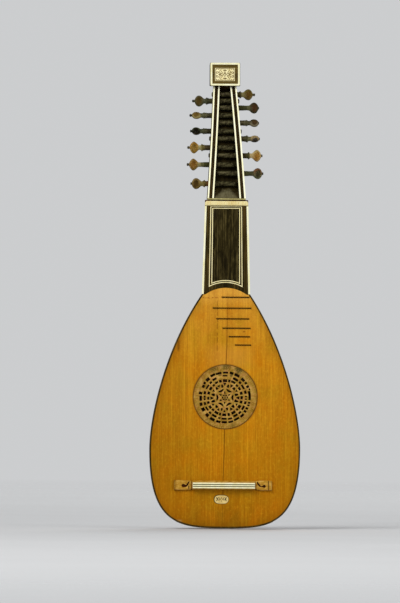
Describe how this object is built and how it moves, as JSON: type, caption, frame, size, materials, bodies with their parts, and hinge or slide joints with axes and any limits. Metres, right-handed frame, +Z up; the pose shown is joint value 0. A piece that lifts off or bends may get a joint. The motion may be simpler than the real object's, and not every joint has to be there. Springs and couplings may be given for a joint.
{
  "type": "lombardic mandolin",
  "caption": "Small lute-backed mandolin with a sickle pegbox, turning side pegs, a pierced rose and a fixed bridge, hung by the top of its pegbox.",
  "frame": {"origin": "where the hanging loop bears on the back of the pegbox, close under the finial", "axes": "+Z up along the neck as the instrument hangs, -Y the way the soundboard faces, +X towards the treble side"},
  "size_m": [0.174, 0.0866, 0.5388],
  "materials": {
    "bare_spruce": "bare",
    "bone": "satin",
    "ebony": "polished",
    "fingerboard_wood": "polished",
    "golden_spruce": "varnished",
    "iron": "dull",
    "ivory": "polished",
    "limewood": "bare",
    "pearwood": "satin",
    "peg_wood": "worn polish",
    "rosewood": "varnished",
    "stained_wood": "polished"
  },
  "bodies": {
    "instrument": {"body_fret_07": "ebony", "body_fret_08": "ebony", "body_fret_09": "ebony", "body_fret_10": "ebony", "body_fret_11": "ebony", "body_fret_12": "ebony", "brace_1": "bare_spruce", "brace_2": "bare_spruce", "brace_3": "bare_spruce", "bridge": "pearwood", "bridge_top": "ivory", "cheek_inlay_inner_bass": "ivory", "cheek_inlay_inner_treble": "ivory", "cheek_inlay_outer_bass": "ivory", "cheek_inlay_outer_treble": "ivory", "end_clasp": "ebony", "fingerboard": "fingerboard_wood", "fingerboard_edge_bass": "ivory", "fingerboard_edge_treble": "ivory", "finial_block": "stained_wood", "finial_border": "ivory", "finial_plaque": "ivory", "inlay_line_inner": "ivory", "inlay_line_outer": "ivory", "neck": "rosewood", "neck_block": "limewood", "neck_nail": "iron", "nut": "bone", "oval_plaque": "bone", "pegbox_back": "stained_wood", "pegbox_cheek_bass": "stained_wood", "pegbox_cheek_treble": "stained_wood", "pegbox_foot_strip": "ivory", "rib_01": "rosewood", "rib_02": "rosewood", "rib_03": "rosewood", "rib_04": "rosewood", "rib_05": "rosewood", "rib_06": "rosewood", "rib_07": "rosewood", "rib_08": "rosewood", "rib_09": "rosewood", "rib_10": "rosewood", "rib_11": "rosewood", "rose": "golden_spruce", "soundboard": "golden_spruce", "soundboard_edging": "ebony", "tail_block": "limewood"},
    "peg_bass_1": {"peg_bass_1": "peg_wood"},
    "peg_bass_2": {"peg_bass_2": "peg_wood"},
    "peg_bass_3": {"peg_bass_3": "peg_wood"},
    "peg_bass_4": {"peg_bass_4": "peg_wood"},
    "peg_bass_5": {"peg_bass_5": "peg_wood"},
    "peg_bass_6": {"peg_bass_6": "peg_wood"},
    "peg_treble_1": {"peg_treble_1": "peg_wood"},
    "peg_treble_2": {"peg_treble_2": "peg_wood"},
    "peg_treble_3": {"peg_treble_3": "peg_wood"},
    "peg_treble_4": {"peg_treble_4": "peg_wood"},
    "peg_treble_5": {"peg_treble_5": "peg_wood"},
    "peg_treble_6": {"peg_treble_6": "peg_wood"}
  },
  "joints": [
    {"name": "peg_bass_1_turn", "type": "hinge", "parent": "instrument", "child": "peg_bass_1", "pos_m": [-0.02095, -0.05777, -0.10156], "axis": [-1, 0, 0], "continuous": true},
    {"name": "peg_bass_2_turn", "type": "hinge", "parent": "instrument", "child": "peg_bass_2", "pos_m": [-0.01946, -0.05158, -0.07957], "axis": [-1, 0, 0], "continuous": true},
    {"name": "peg_bass_3_turn", "type": "hinge", "parent": "instrument", "child": "peg_bass_3", "pos_m": [-0.01813, -0.04423, -0.05987], "axis": [-1, 0, 0], "continuous": true},
    {"name": "peg_bass_4_turn", "type": "hinge", "parent": "instrument", "child": "peg_bass_4", "pos_m": [-0.01684, -0.03535, -0.0408], "axis": [-1, 0, 0], "continuous": true},
    {"name": "peg_bass_5_turn", "type": "hinge", "parent": "instrument", "child": "peg_bass_5", "pos_m": [-0.01561, -0.02503, -0.02257], "axis": [-1, 0, 0], "continuous": true},
    {"name": "peg_bass_6_turn", "type": "hinge", "parent": "instrument", "child": "peg_bass_6", "pos_m": [-0.01447, -0.01375, -0.00579], "axis": [-1, 0, 0], "continuous": true},
    {"name": "peg_treble_1_turn", "type": "hinge", "parent": "instrument", "child": "peg_treble_1", "pos_m": [0.02014, -0.05464, -0.08951], "axis": [1, 0, 0], "continuous": true},
    {"name": "peg_treble_2_turn", "type": "hinge", "parent": "instrument", "child": "peg_treble_2", "pos_m": [0.01874, -0.04782, -0.06889], "axis": [1, 0, 0], "continuous": true},
    {"name": "peg_treble_3_turn", "type": "hinge", "parent": "instrument", "child": "peg_treble_3", "pos_m": [0.01742, -0.03956, -0.04936], "axis": [1, 0, 0], "continuous": true},
    {"name": "peg_treble_4_turn", "type": "hinge", "parent": "instrument", "child": "peg_treble_4", "pos_m": [0.01618, -0.03004, -0.031], "axis": [1, 0, 0], "continuous": true},
    {"name": "peg_treble_5_turn", "type": "hinge", "parent": "instrument", "child": "peg_treble_5", "pos_m": [0.01499, -0.01914, -0.01347], "axis": [1, 0, 0], "continuous": true},
    {"name": "peg_treble_6_turn", "type": "hinge", "parent": "instrument", "child": "peg_treble_6", "pos_m": [0.01394, -0.00786, 0.00198], "axis": [1, 0, 0], "continuous": true}
  ]
}
